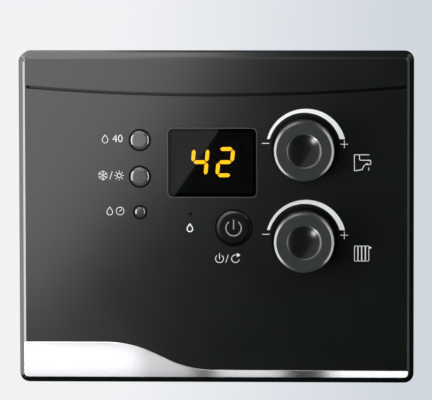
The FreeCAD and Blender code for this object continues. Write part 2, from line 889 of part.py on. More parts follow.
def make_button(label, x, z, diameter):
    """A cap that falls away towards its rim, its retaining flange and the stem that meets the switch."""
    body = new_body()
    radius = f"({diameter} / 2)"
    flange = f"({radius} + button_flange)"
    top = f"({FRONT} + button_proud)"
    flat = f"({radius} - button_slope)"
    rim = f"({top} - button_fall)"
    back = f"({BUTTON_SEAT} - button_flange_thick)"
    revolve(
        body,
        [
            ("0", top),
            (flat, top),
            (radius, rim),
            (radius, BUTTON_SEAT),
            (flange, BUTTON_SEAT),
            (flange, back),
            ("stem_diameter / 2", back),
            ("stem_diameter / 2", PLUNGER_TOP),
            ("0", PLUNGER_TOP),
        ],
        {1: {"centre_x": flat}},
    )
    fillet(body, ring_at(rim, radius), "button_round")
    keep(put(body, x, z), label)
    plunger = rod(x, z, "plunger_diameter", f"{PLUNGER_TOP} - plunger_depth", PLUNGER_TOP)
    keep(plunger, label.replace("button", "switch_plunger"))


def make_switches():
    """Three tact switches, each bored for its plunger."""
    switches = []
    bore = "plunger_diameter + 2 * screw_gap"
    bottom = f"({PLUNGER_TOP} - plunger_depth - button_travel - stop_gap)"
    for x, z, _ in BUTTON_PLACES.values():
        case = block(x, z, "switch_side", "switch_side", BOARD_FRONT, f"{BOARD_FRONT} + switch_height")
        switches.append(cut(case, rod(x, z, bore, bottom, FRONT)))
    keep(group(switches), "tact_switches")


def make_indicators():
    lens = new_body()
    radius = "(lens_diameter / 2)"
    top = f"({FRONT} + lens_proud)"
    flat = f"({radius} - lens_slope)"
    back = f"({COLLAR_BACK} - collar_flange_thick)"
    revolve(
        lens,
        [
            ("0", top),
            (flat, top),
            (radius, f"({top} - lens_fall)"),
            (radius, COLLAR_BACK),
            (f"{radius} + collar_width", COLLAR_BACK),
            (f"{radius} + collar_width", back),
            ("0", back),
        ],
        {1: {"centre_x": flat}},
    )
    keep(put(lens, *LENS_PLACE), "pressure_lens")

    pipes = []
    leds = []
    led_top = f"({BOARD_FRONT} + led_height)"
    for x, z in PIPE_PLACES:
        stem = rod(x, z, "pipe_diameter", f"{led_top} + stop_gap", f"{FRONT} + collar_proud / 3")
        flange = rod(x, z, "pipe_flange", COLLAR_BACK, INNER)
        pipes.append(fuse([stem, flange]))
    for x, z in PIPE_PLACES + [LENS_PLACE]:
        leds.append(block(x, z, "led_side", "led_side", BOARD_FRONT, led_top))
    keep(group(pipes), "indicator_light_pipes")
    keep(group(leds), "indicator_leds")


# Knobs


def make_knob(name, z):
    body = new_body()
    radius = "(knob_diameter / 2)"
    edge = f"({radius} - knob_taper)"
    rear = f"({FRONT} - well_depth + knob_gap)"
    top = f"({FRONT} + knob_proud)"
    dish = f"({top} - dish_depth)"
    roof = f"({dish} - knob_wall)"
    bore = "(shaft_diameter / 2 + shaft_fit)"
    hub = "(hub_diameter / 2)"
    hub_end = f"({rear} + hub_short)"
    revolve(
        body,
        [
            ("0", dish),
            ("dish_diameter / 2", top),
            (f"{edge} - knob_bevel", top),
            (edge, f"{top} - knob_fall"),
            (radius, rear),
            (f"{radius} - knob_wall", rear),
            (f"{radius} - knob_wall - knob_taper", roof),
            (hub, roof),
            (hub, hub_end),
            (bore, hub_end),
            (bore, roof),
            ("0", roof),
        ],
        {0: {"centre_x": "0"}},
    )
    fillet(body, ring_at(f"{top} - knob_fall", edge), "knob_round")
    fillet(body, ring_at(top, "dish_diameter / 2"), "dish_round")
    keep(put(body, "knob_x", z), f"{name}_knob")

    clip = new_body()
    ring = f"({hub} + shaft_fit)"
    ring_end = f"({hub_end} + hub_diameter / 3)"
    revolve(
        clip,
        [
            (ring, f"{hub_end} + stop_gap"),
            (f"{ring} + collar_width", f"{hub_end} + stop_gap"),
            (f"{ring} + collar_width", ring_end),
            (ring, ring_end),
        ],
    )
    keep(put(clip, "knob_x", z), f"{name}_knob_clip")

    shaft_back = f"({BOARD_FRONT} + pot_height / 2)"
    shaft = rod("knob_x", z, "shaft_diameter", f"{shaft_back} + stop_gap", f"{roof} - stop_gap")
    flat = block(
        "knob_x",
        f"{z} + shaft_diameter - shaft_flat",
        "2 * shaft_diameter",
        "shaft_diameter",
        f"{hub_end}",
        f"{FRONT} + knob_proud",
    )
    keep(cut(shaft, flat), f"{name}_shaft")

    case = block("knob_x", z, "pot_side", "pot_side", BOARD_FRONT, f"{BOARD_FRONT} + pot_height")
    bushing = rod("knob_x", z, "bushing_diameter", f"{BOARD_FRONT} + pot_height / 2", f"{INNER} + wall / 4")
    hole = rod("knob_x", z, "shaft_diameter + 2 * shaft_fit", shaft_back, FRONT)
    keep(cut(fuse([case, bushing]), hole), f"{name}_potentiometer")

    scale = new_body()
    drawing = Drawing(scale, "front", f"{FRONT} - dial_seat")
    dial_outline(drawing, "0", "0", "0")
    pad(scale, drawing, "dial_thick")
    keep(put(scale, "knob_x", z), f"{name}_dial_scale")


# Boards and what they carry


def screws(places, shank, back, head_depth, reach, head):
    """Pan-head screws that point forward, with their heads behind back."""
    made = []
    for x, z in places:
        stem = rod(x, z, shank, back, f"{back} + {reach}")
        cap = rod(x, z, head, f"{back} - {head_depth}", back)
        made.append(fuse([stem, cap]))
    return group(made)


def drilled(plate, places, diameter, back, front):
    """A plate with round holes."""
    return cut(plate, group([rod(x, z, diameter, back, front) for x, z in places]))


def make_front_board():
    plate = block(
        "front_board_x", FRONT_BOARD_Z, "front_board_width", "front_board_height", BOARD_BACK, BOARD_FRONT
    )
    board = drilled(plate, FRONT_BOARD_HOLES, "pilot_diameter + 6 * screw_gap", "0", FRONT)
    keep(board, "front_board")
    shank = "pilot_diameter - 2 * screw_gap"
    reach = "(board_thick + pilot_depth - tip_gap)"
    fixing = screws(FRONT_BOARD_HOLES, shank, BOARD_BACK, "head_height", reach, "screw_head")
    keep(fixing, "front_board_screws")


def make_main_board():
    plate = block("0", "0", "main_board_width", "main_board_height", "main_board_lift", MAIN_FRONT)
    board = drilled(plate, MAIN_BOARD_HOLES, "pilot_diameter + 6 * screw_gap", "0", FRONT)
    keep(board, "main_board")
    made = []
    for x, z in MAIN_BOARD_HOLES:
        tip = "main_board_lift - pilot_depth + tip_gap"
        stem = rod(x, z, "pilot_diameter - 2 * screw_gap", tip, MAIN_FRONT)
        cap = rod(x, z, "screw_head", MAIN_FRONT, f"{MAIN_FRONT} + head_height")
        made.append(fuse([stem, cap]))
    keep(group(made), "main_board_screws")


def from_left(part):
    """Place of a part whose distance is taken from the main board's left end."""
    return f"({part}_x - main_board_width / 2)"


def from_right(part):
    """Place of a part whose distance is taken from the main board's right end."""
    return f"(main_board_width / 2 - {part}_x)"


def from_middle(part, shift="0"):
    """Place of a part whose distance is taken from the main board's middle."""
    return f"({part}_x + {shift})"


def on_board(part, x):
    """A block on the main board's rear side, where the terminal cover gives access."""
    return block(
        x,
        f"{part}_z",
        f"{part}_width",
        f"{part}_height",
        f"main_board_lift - {part}_depth",
        "main_board_lift",
    )


def make_power_parts():
    keep(fuse([on_board(part, from_left(part)) for part in ("core", "bobbin")]), "mains_transformer")
    keep(fuse([on_board(part, from_left(part)) for part in ("coil", "blade")]), "ignition_transformer")
    places = [from_middle("relay", f"{i} * relay_pitch") for i in range(4)]
    keep(group([on_board("relay", x) for x in places]), "relays")
    cans = []
    for i in range(2):
        x = f"can_x + {i} * can_pitch"
        cans.append(rod(x, "can_z", "can_diameter", "main_board_lift - can_depth", "main_board_lift"))
    keep(group(cans), "capacitors")
    sink_x = from_right("sink")
    fins = []
    for i in range(5):
        z = f"sink_z + {i - 2} * fin_pitch"
        fins.append(block(sink_x, z, "2 * sink_width", "fin_gap", "0", "main_board_lift - fin_root"))
    keep(cut(on_board("sink", sink_x), group(fins)), "heat_sink")


def make_signal_parts():
    keep(group([on_board("processor", from_right("processor")), on_board("driver", from_middle("driver"))]), "logic_chips")
    back = "main_board_lift - buzzer_depth"
    x = from_left("buzzer")
    case = rod(x, "buzzer_z", "buzzer_diameter", back, "main_board_lift")
    port = rod(x, "buzzer_z", "pipe_diameter", "0", "main_board_lift - buzzer_depth / 2")
    keep(cut(case, port), "buzzer")


def make_connectors():
    wells = []
    for i in range(6):
        x = f"terminal_x + {i - 2.5} * terminal_pitch"
        wells.append(rod(x, "terminal_z", "terminal_well", "0", "main_board_lift - terminal_depth / 2"))
    keep(cut(on_board("terminal", from_middle("terminal")), group(wells)), "mains_terminal_block")
    sockets = []
    for i in range(4):
        x = from_middle("socket", f"{i} * socket_pitch")
        hollow = block(
            x,
            "socket_z",
            "socket_width - 2 * socket_wall",
            "socket_height - 2 * socket_wall",
            "0",
            "main_board_lift - 2 * socket_wall",
        )
        sockets.append(cut(on_board("socket", x), hollow))
    keep(group(sockets), "sensor_sockets")


def make_fuse():
    """A glass fuse that lies in the trough of its carrier."""
    depth = "(main_board_lift - carrier_depth)"
    ends = ("carrier_x - carrier_width", "carrier_x + carrier_width")
    trough = bar(*ends, depth, "carrier_z", "fuse_diameter + 2 * screw_gap")
    keep(cut(on_board("carrier", from_middle("carrier")), trough), "fuse_holder")
    ends = ("carrier_x - fuse_length / 2", "carrier_x + fuse_length / 2")
    keep(bar(*ends, depth, "carrier_z", "fuse_diameter"), "mains_fuse")


def make_ribbon():
    """A flat cable folded between the two boards, with a socket at each end."""
    across, deep = "ribbon_width + header_margin", "header_height"
    lower = block("ribbon_x", "ribbon_low", across, deep, MAIN_FRONT, f"{MAIN_FRONT} + header_depth")
    upper = block("ribbon_x", "ribbon_high", across, deep, f"{BOARD_BACK} - header_depth", BOARD_BACK)
    keep(group([lower, upper]), "ribbon_sockets")
    body = new_body()
    drawing = Drawing(body, "side", "ribbon_x - ribbon_width / 2")
    start = f"({MAIN_FRONT} + header_depth)"
    end = f"({BOARD_BACK} - header_depth)"
    middle = f"(({start} + {end}) / 2)"
    half = "(ribbon_thick / 2)"
    drawing.outline(
        [
            (f"(-{start})", f"ribbon_low - {half}"),
            (f"(-{start})", f"ribbon_low + {half}"),
            (f"({half} - {middle})", f"ribbon_low + {half}"),
            (f"({half} - {middle})", f"ribbon_high + {half}"),
            (f"(-{end})", f"ribbon_high + {half}"),
            (f"(-{end})", f"ribbon_high - {half}"),
            (f"(-{middle} - {half})", f"ribbon_high - {half}"),
            (f"(-{middle} - {half})", f"ribbon_low - {half}"),
        ]
    )
    pad(body, drawing, "ribbon_width")
    keep(body, "ribbon_cable")


# Rear box


def make_housing():
    body = new_body()
    pad(body, Drawing(body, "front", "0").rectangle("0", "0", HOUSING_WIDTH, HOUSING_HEIGHT), FLANGE_FRONT)
    fillet(body, runs_deep, "housing_round")
    fillet(body, lies_at("0"), "housing_round / 2")
    flange = Drawing(body, "front", FLANGE_BACK)
    flange.rectangle("0", "0", FLANGE_WIDTH, FLANGE_HEIGHT)
    pad(body, flange, "flange_thick")
    inner = "2 * housing_wall"
    cavity = Drawing(body, "front", FLANGE_FRONT)
    cavity.rectangle("0", "0", f"{HOUSING_WIDTH} - {inner}", f"{HOUSING_HEIGHT} - {inner}")
    pocket(body, cavity, f"{FLANGE_FRONT} - housing_wall")

    frame = Drawing(body, "front", "housing_wall / 2")
    margin = "2 * frame_margin"
    frame.rectangle("0", LID_Z, f"lid_width + {margin}", f"lid_height + {margin}")
    pad(body, frame, "frame_depth - housing_wall / 2")
    pillars = Drawing(body, "front", "housing_wall / 2")
    for x, z in MAIN_BOARD_HOLES:
        pillars.circle(x, z, "boss_diameter")
    pad(body, pillars, "main_board_lift - housing_wall / 2")
    bosses = Drawing(body, "front", "housing_wall / 2")
    for x, z in lid_screw_places():
        bosses.circle(x, z, "boss_diameter")
    pad(body, bosses, "lid_seat + pilot_depth + housing_wall / 2")

    opening = Drawing(body, "front", "frame_depth")
    rim = "2 * lid_rim"
    opening.rectangle("0", LID_Z, f"lid_width - {rim}", f"lid_height - {rim}")
    pocket(body, opening, "frame_depth")
    recess = Drawing(body, "front", "lid_seat")
    recess.rectangle("0", LID_Z, "lid_width", "lid_height")
    pocket(body, recess, "lid_seat")
    pilots = Drawing(body, "front", "main_board_lift")
    for x, z in MAIN_BOARD_HOLES:
        pilots.circle(x, z, "pilot_diameter")
    pocket(body, pilots, "pilot_depth")
    lid_pilots = Drawing(body, "front", "lid_seat + pilot_depth")
    for x, z in lid_screw_places():
        lid_pilots.circle(x, z, "pilot_diameter")
    pocket(body, lid_pilots, "pilot_depth")

    ears = Drawing(body, "front", "0")
    ear_z = f"({HOUSING_HEIGHT} / 2)"
    for side in (-1, 1):
        ears.rectangle(f"({side} * ear_pitch / 2)", ear_z, "ear_width", "2 * ear_reach")
    pad(body, ears, "ear_thick")
    holes = Drawing(body, "front", "ear_thick")
    for side in (-1, 1):
        holes.circle(f"({side} * ear_pitch / 2)", ear_hole_z(), "ear_hole")
    pocket(body, holes, "ear_thick")
    joints = Drawing(body, "front", FLANGE_FRONT)
    for x, z in TOP_JOINTS + LOWER_JOINTS:
        joints.circle(x, z, "joint_screw + 6 * screw_gap")
    pocket(body, joints, "flange_thick")

    for side in (-1, 1):
        start = f"({HOUSING_WIDTH} / 2 - pin_length + pin_reach)"
        end = f"({HOUSING_WIDTH} / 2)"
        if side == -1:
            start, end = f"(housing_wall / 2 - {end})", f"(-{start})"
        boss = Drawing(body, "side", start)
        boss.circle("(-pin_depth)", PIN_Z, "pin_boss")
        pad(body, boss, "pin_length - pin_reach - housing_wall / 2")
        bore = Drawing(body, "side", end)
        bore.circle("(-pin_depth)", PIN_Z, "pin_root + 2 * shaft_fit")
        pocket(body, bore, "pin_length - pin_reach")

    vents = Drawing(body, "floor", f"{HOUSING_HEIGHT} / 2")
    for i in range(-3, 4):
        vents.rectangle(f"({i} * vent_pitch)", "(-vent_depth)", "vent_width", "vent_length")
    pocket(body, vents, "housing_wall")
    grommets = Drawing(body, "floor", f"housing_wall - {HOUSING_HEIGHT} / 2")
    for x in grommet_places():
        grommets.circle(x, "(-grommet_depth)", "grommet_hole")
    pocket(body, grommets, "housing_wall")
    keep(body, "rear_housing")


def ear_hole_z():
    return f"({HOUSING_HEIGHT} / 2 + ear_reach / 2)"


def lid_screw_places():
    return [(f"({side} * (lid_width - lid_rim) / 2)", LID_Z) for side in (-1, 1)]


def grommet_places():
    return [f"({i} * grommet_pitch)" for i in (-1.5, -0.5, 0.5, 1.5)]


def make_gasket():
    body = new_body()
    ring = Drawing(body, "front", FLANGE_FRONT)
    ring.rectangle("0", "0", FLANGE_WIDTH, FLANGE_HEIGHT)
    ring.rectangle("0", "0", f"{FLANGE_WIDTH} - 2 * gasket_width", f"{FLANGE_HEIGHT} - 2 * gasket_width")
    pad(body, ring, "gasket_thick")
    keep(body, "front_gasket")


def make_terminal_cover():
    body = new_body()
    plate = Drawing(body, "front", "lid_seat - lid_thick")
    slack = "2 * fit_gap"
    plate.rectangle("0", LID_Z, f"lid_width - {slack}", f"lid_height - {slack}")
    pad(body, plate, "lid_thick")
    plug = Drawing(body, "front", "lid_seat")
    rim = "2 * (lid_rim + fit_gap)"
    plug.rectangle("0", LID_Z, f"lid_width - {rim}", f"lid_height - {rim}")
    pad(body, plug, "lid_plug")
    ribs = Drawing(body, "front", "lid_seat - lid_thick / 2")
    for i in range(-2, 3):
        ribs.rectangle(f"({i} * vent_pitch)", LID_Z, "vent_width", "vent_length")
    pocket(body, ribs, "lid_thick / 2")
    holes = Drawing(body, "front", "lid_seat")
    for x, z in lid_screw_places():
        holes.circle(x, z, "pilot_diameter + 6 * screw_gap")
    pocket(body, holes, "lid_thick")
    keep(body, "terminal_cover")
    shank = "pilot_diameter - 2 * screw_gap"
    back = "(lid_seat - lid_thick)"
    head = "(lid_seat - lid_thick - stop_gap)"
    length = "(lid_thick + pilot_depth - tip_gap)"
    fixing = screws(lid_screw_places(), shank, back, head, length, "screw_head")
    keep(fixing, "terminal_cover_screws")


def make_joint_screws():
    places = TOP_JOINTS + LOWER_JOINTS
    reach = "(flange_thick + joint_depth - tip_gap)"
    fixing = screws(places, "joint_screw", FLANGE_BACK, "head_height", reach, "joint_head")
    keep(fixing, "housing_screws")


def make_hinge_pins():
    """Shouldered pins: a thick root in the housing's boss and a thinner free end."""
    pins = []
    wall, tip = f"({HOUSING_WIDTH} / 2)", f"({HOUSING_WIDTH} / 2 + pin_reach)"
    root = f"({tip} - pin_length)"
    for side in (-1, 1):
        first, last = (wall, tip) if side == 1 else (f"(-{tip})", f"(-{wall})")
        free_end = bar(first, last, "pin_depth", PIN_Z, "pin_diameter")
        first, last = (root, wall) if side == 1 else (f"(-{wall})", f"(-{root})")
        pins.append(fuse([free_end, bar(first, last, "pin_depth", PIN_Z, "pin_root")]))
    keep(group(pins), "hinge_pins")


def make_grommets():
    """Closed rubber grommets that an installer pierces for each cable."""
    made = []
    wide, narrow = "(grommet_diameter / 2)", "(grommet_hole / 2 - screw_gap)"
    inner, outer = f"(housing_wall - {HOUSING_HEIGHT} / 2)", f"(-{HOUSING_HEIGHT} / 2)"
    for x in grommet_places():
        body = new_body()
        drawing = Drawing(body, "front", "0")
        drawing.outline(
            [
                ("0", f"{outer} - grommet_lip"),
                (f"{narrow}", f"{outer} - grommet_lip"),
                (wide, outer),
                (narrow, outer),
                (narrow, inner),
                (wide, inner),
                (narrow, f"{inner} + grommet_lip"),
                ("0", f"{inner} + grommet_lip"),
            ]
        )
        feature = body.newObject("PartDesign::Revolution", "Revolution")
        feature.Profile = drawing.sketch
        feature.ReferenceAxis = (drawing.sketch, ["V_Axis"])
        feature.Angle = 360
        bind(body, "Placement.Base.x", x)
        bind(body, "Placement.Base.y", "-grommet_depth")
        made.append(body)
    keep(group(made), "cable_grommets")


def check_and_export():
    doc.recompute()
    failed = [o.Label for o in doc.Objects if "Invalid" in o.State or "Error" in o.State]
    bad = [label for label, o in subparts.items() if o.Shape.isNull() or not o.Shape.isValid()]
    empty = [label for label, o in subparts.items() if not o.Shape.Solids]
    if failed or bad or empty:
        raise RuntimeError(f"failed: {failed}, not valid: {bad}, no solid: {empty}")
    os.makedirs("parts", exist_ok=True)
    for label, item in subparts.items():
        item.Shape.exportStep(f"parts/{label}.step")
    print(len(subparts), "pieces,", sum(len(o.Shape.Solids) for o in subparts.values()), "solids")


make_main_fascia()
make_upper_fascia()
make_trim()
make_display()
make_segments()
for label, (x, z, diameter) in BUTTON_PLACES.items():
    make_collar(f"{label}_collar", x, z, f"{diameter} + 2 * slide_gap")
    make_button(label, x, z, diameter)
make_collar("pressure_lens_collar", *LENS_PLACE, "lens_diameter + 2 * fit_gap")
make_switches()
make_indicators()
for name, z in KNOB_PLACES.items():
    make_knob(name, z)
make_front_board()
make_main_board()
make_power_parts()
make_signal_parts()
make_connectors()
make_fuse()
make_ribbon()
make_housing()
make_gasket()
make_terminal_cover()
make_joint_screws()
make_hinge_pins()
make_grommets()
check_and_export()
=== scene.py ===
"""Control panel of a wall-hung boiler: finishes, printed signs, studio light and camera."""
import json
import math

import bpy
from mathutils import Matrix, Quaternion, Vector


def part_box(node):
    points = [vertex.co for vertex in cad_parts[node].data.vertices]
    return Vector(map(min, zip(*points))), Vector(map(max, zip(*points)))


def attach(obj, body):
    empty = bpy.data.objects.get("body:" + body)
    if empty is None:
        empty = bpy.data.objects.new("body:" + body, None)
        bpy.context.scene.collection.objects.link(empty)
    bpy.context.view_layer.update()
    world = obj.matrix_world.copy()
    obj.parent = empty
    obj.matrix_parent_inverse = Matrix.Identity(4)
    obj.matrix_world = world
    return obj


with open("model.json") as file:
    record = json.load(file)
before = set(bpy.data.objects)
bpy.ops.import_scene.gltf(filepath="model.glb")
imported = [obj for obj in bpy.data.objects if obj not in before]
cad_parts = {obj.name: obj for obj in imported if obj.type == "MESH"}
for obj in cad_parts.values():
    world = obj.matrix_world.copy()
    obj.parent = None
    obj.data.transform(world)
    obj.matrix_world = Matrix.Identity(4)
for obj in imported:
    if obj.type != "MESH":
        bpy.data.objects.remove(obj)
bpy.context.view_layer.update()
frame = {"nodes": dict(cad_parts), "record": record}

# One millimetre in the scene's metres, the depth of the panel's face, and the point that most lamps face
MM = 0.001
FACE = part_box("main_fascia")[0].y
CENTRE = Vector((0.0, FACE, 0.0))

# Groups of pieces that some lamps are kept to
MOULDINGS = (
    "main_fascia", "upper_fascia", "seam_end_left", "seam_end_right", "chrome_trim", "display_bezel",
)
KNOBS = ("dhw_knob", "heating_knob")
BUTTONS = ("dhw_button", "season_button", "pressure_lens")
TRIM = ("chrome_trim",)

# The curved joint between the two front mouldings, in mm
SEAM_LOW = 83.4
SEAM_RADIUS = 1539.0
SEAM_GAP = 2.2
# The edge that the joint runs into, as insets from the side and depths behind the face, in mm
EDGE_PROFILE = (
    (0.03, 3.63), (3.02, 0.62), (4.42, 0.03), (5.2, 0.03),
    (5.2, 3.3), (7.0, 3.3), (7.0, 10.0), (0.03, 10.0),
)

# Prints, in mm: how far they stand out and reach in, the usual line, and the places of what repeats
PRINT_THICK = 0.10
PRINT_SUNK = 0.03
STROKE = 0.42
LABEL_RISE = 0.8
POWER_LABEL_RISE = -20.9
MINUS_PLACE = (-26.3, 3.7)
PLUS_PLACE = (26.7, 3.2)
DIAL_SIGN_REACH = 2.55
# The share of a font's size that its digits fill, and how much thinner than the font they are, in mm
DIGIT_SHARE = 0.69
DIGIT_THINNING = 0.07
# Where each sign stands: the piece that it belongs to, and mm across and up from that piece's middle
SIGN_PLACES = {
    "dhw_knob_minus": ("dhw_knob", *MINUS_PLACE),
    "dhw_knob_plus": ("dhw_knob", *PLUS_PLACE),
    "heating_knob_minus": ("heating_knob", *MINUS_PLACE),
    "heating_knob_plus": ("heating_knob", *PLUS_PLACE),
    "tap_sign": ("dhw_knob", 39.0, -9.3),
    "radiator_sign": ("heating_knob", 40.2, -9.2),
    "flame_sign": ("power_button", -29.6, 0.0),
    "power_sign": ("power_button", 0.0, 0.0),
    "standby_sign": ("power_button", -9.6, POWER_LABEL_RISE),
    "reset_slash": ("power_button", -4.5, POWER_LABEL_RISE),
    "reset_sign": ("power_button", 1.2, POWER_LABEL_RISE),
    "number_40": ("dhw_button", -15.0, LABEL_RISE),
    "hot_water_sign": ("dhw_button", -23.5, LABEL_RISE),
    "winter_sign": ("season_button", -25.0, LABEL_RISE),
    "season_slash": ("season_button", -19.6, LABEL_RISE),
    "summer_sign": ("season_button", -14.0, LABEL_RISE),
    "pressure_drop_sign": ("pressure_lens", -20.5, LABEL_RISE),
    "pressure_sign": ("pressure_lens", -13.5, LABEL_RISE),
}

# Surfaces: where along its field a tone starts and ends its change, how far gloss wanders, relief in mm
RAMP_START = 0.3
RAMP_END = 0.7
GLOSS_SPREAD = 0.06
GRAIN_DEPTH = 0.05
# How near other surfaces have to be for the painted shade that dulls the black mouldings in gaps, in mm
GAP_SHADE_REACH = 5.0
# The knob's shine and tone at distances from its axis, given as shares of its width; the last stop is
# painted shade on its sides
KNOB_SHINE_AND_SHADE = ((0.25, 0.10), (0.275, 0.5), (0.483, 0.5), (0.488, 0.1))

# Studio: the cards' distance from the face and the floor, in metres, then colours
CARD_GAP = 0.40
FLOOR_SIZE = 28.0
FLOOR_LEVEL = -2.6
FLOOR_GLOW = (0.48, 0.50, 0.53, 1.0)
BACKDROP_LEFT = (0.885, 0.892, 0.91)
BACKDROP_RIGHT = (0.64, 0.68, 0.74)
ROOM_FRONT = (0.05, 0.052, 0.053)
ROOM_BACK = (0.75, 0.77, 0.80)

# Camera: angles in degrees, the distance in metres, and the rest in mm
AZIMUTH = 2.5
ELEVATION = 5.2
DISTANCE = 3.2
AIM_HEIGHT = 12.3
SENSOR_WIDTH = 36.0
LENS = 394.9


# Shader nodes

def add_node(tree, kind, links=None, **inputs):
    """A shader node with plain inputs set and other inputs linked."""
    made = tree.nodes.new(kind)
    for name, value in inputs.items():
        made.inputs[name.replace("_", " ")].default_value = value
    for name, output in (links or {}).items():
        tree.links.new(output, made.inputs[name])
    return made


def noise(tree, scale, detail=3.0):
    """A noise field over the object's own coordinates; scale is in waves per metre."""
    place = add_node(tree, "ShaderNodeTexCoord")
    links = {"Vector": place.outputs["Object"]}
    field = add_node(tree, "ShaderNodeTexNoise", links, Scale=scale, Detail=detail)
    return field.outputs["Fac"]


def ramp(tree, field, first, last):
    """A colour between two tones, chosen by a field."""
    made = add_node(tree, "ShaderNodeValToRGB", {"Fac": field})
    start, end = made.color_ramp.elements
    start.position = RAMP_START
    start.color = (*first, 1.0)
    end.position = RAMP_END
    end.color = (*last, 1.0)
    return made.outputs["Color"]


def rescale(tree, value, start, end, low=0.0, high=1.0):
    """A value carried from one range to another, and held within it."""
    limits = {"From_Min": start, "From_Max": end, "To_Min": low, "To_Max": high}
    made = add_node(tree, "ShaderNodeMapRange", {"Value": value}, **limits)
    return made.outputs["Result"]


def combine(tree, operation, one, two):
    """Two values put together by one operation."""
    made = add_node(tree, "ShaderNodeMath", {0: one, 1: two})
    made.operation = operation
    return made.outputs["Value"]


def change_vector(tree, operation, vector, other=(0.0, 0.0, 0.0)):
    """A vector changed by one operation with another, fixed vector."""
    made = add_node(tree, "ShaderNodeVectorMath", {0: vector})
    made.operation = operation
    made.inputs[1].default_value = other
    return made


def blend(tree, mode, factor, one, two):
    """Two colours put together, by a factor that is a number or an output."""
    made = tree.nodes.new("ShaderNodeMix")
    made.data_type = "RGBA"
    made.blend_type = mode
    if isinstance(factor, float):
        made.inputs["Factor"].default_value = factor
    else:
        tree.links.new(factor, made.inputs["Factor"])
    tree.links.new(one, made.inputs["A"])
    tree.links.new(two, made.inputs["B"])
    return made.outputs["Result"]


# Finishes: a function for each slot of the record, and one for the ends of the light pipes

def finish(name, tone, spread, scale, roughness, grain=0.0, grain_scale=2500.0, **sockets):
    """A surface whose tone and gloss wander a little, with an optional fine grain in its relief."""
    made = bpy.data.materials.new(name)
    made.use_nodes = True
    tree = made.node_tree
    shader = tree.nodes["Principled BSDF"]
    field = noise(tree, scale)
    dark = tuple(value * (1 - spread) for value in tone)
    light = tuple(min(1.0, value * (1 + spread)) for value in tone)
    tree.links.new(ramp(tree, field, dark, light), shader.inputs["Base Color"])
    smooth = roughness * (1 - GLOSS_SPREAD)
    rough = roughness * (1 + GLOSS_SPREAD)
    tree.links.new(rescale(tree, field, 0.0, 1.0, low=smooth, high=rough), shader.inputs["Roughness"])
    if grain:
        links = {"Height": noise(tree, grain_scale, detail=2.0)}
        bump = add_node(tree, "ShaderNodeBump", links, Strength=grain, Distance=GRAIN_DEPTH * MM)
        tree.links.new(bump.outputs["Normal"], shader.inputs["Normal"])
    for socket, value in sockets.items():
        shader.inputs[socket.replace("_", " ")].default_value = value
    return made


def grey(value, blue=1.03):
    """A near-neutral tone."""
    return value, value, value * blue


def black_moulding(name):
    """Satin black whose shine is taken away in the seam and other narrow gaps as painted shade, and which
    is dull behind the bevel.
    """
    tone = (0.0026, 0.0032, 0.0032)
    made = finish(name, tone, spread=0.10, scale=60.0, roughness=0.23, grain=0.03)
    tree = made.node_tree
    # Painted shade: the shine drops where other surfaces are near, so the seam and the gaps round the parts
    # look dark
    openness = add_node(tree, "ShaderNodeAmbientOcclusion", Distance=GAP_SHADE_REACH * MM)
    shine_with_painted_shade = rescale(tree, openness.outputs["AO"], start=0.0, end=0.9, low=0.05, high=0.5)
    facing = add_node(tree, "ShaderNodeNewGeometry")
    axes = add_node(tree, "ShaderNodeSeparateXYZ", {"Vector": facing.outputs["Normal"]})
    share = rescale(tree, axes.outputs["Y"], start=-0.15, end=-0.45, low=0.0025)
    level = combine(tree, "MULTIPLY", shine_with_painted_shade, share)
    tree.links.new(level, tree.nodes["Principled BSDF"].inputs["Specular IOR Level"])
    return made


def chrome(name):
    return finish(name, (0.86, 0.87, 0.89), spread=0.02, scale=25.0, roughness=0.11, Metallic=1.0)


def smoked_pane(name):
    clear = {"Transmission_Weight": 1.0, "IOR": 1.45}
    return finish(name, grey(0.20), spread=0.03, scale=40.0, roughness=0.02, **clear)


def gloss_black(name):
    return finish(name, grey(0.008), spread=0.10, scale=80.0, roughness=0.22)


# Lighter than the mouldings: partly the bezel's own grey, partly a painted highlight along the window's rim
def bezel_grey(name):
    return finish(name, grey(0.020), spread=0.06, scale=80.0, roughness=0.25)


# Near-black and matt: partly the rings' own black, partly painted shade for the groove round the buttons
def ring_black(name):
    return finish(name, grey(0.002), spread=0.10, scale=80.0, roughness=0.6, Specular_IOR_Level=0.1)


def white_scale(name):
    return finish(name, grey(0.85, blue=1.0), spread=0.02, scale=120.0, roughness=0.45)


def lit_amber(name):
    glow = {"Emission_Color": (1.0, 0.52, 0.012, 1.0), "Emission_Strength": 6.5}
    return finish(name, (0.95, 0.5, 0.02), spread=0.05, scale=300.0, roughness=0.4, **glow)


def unlit_grey(name):
    return finish(name, (0.012, 0.011, 0.010), spread=0.10, scale=300.0, roughness=0.4)


def button_grey(name):
    return finish(name, grey(0.022), spread=0.06, scale=90.0, roughness=0.12)


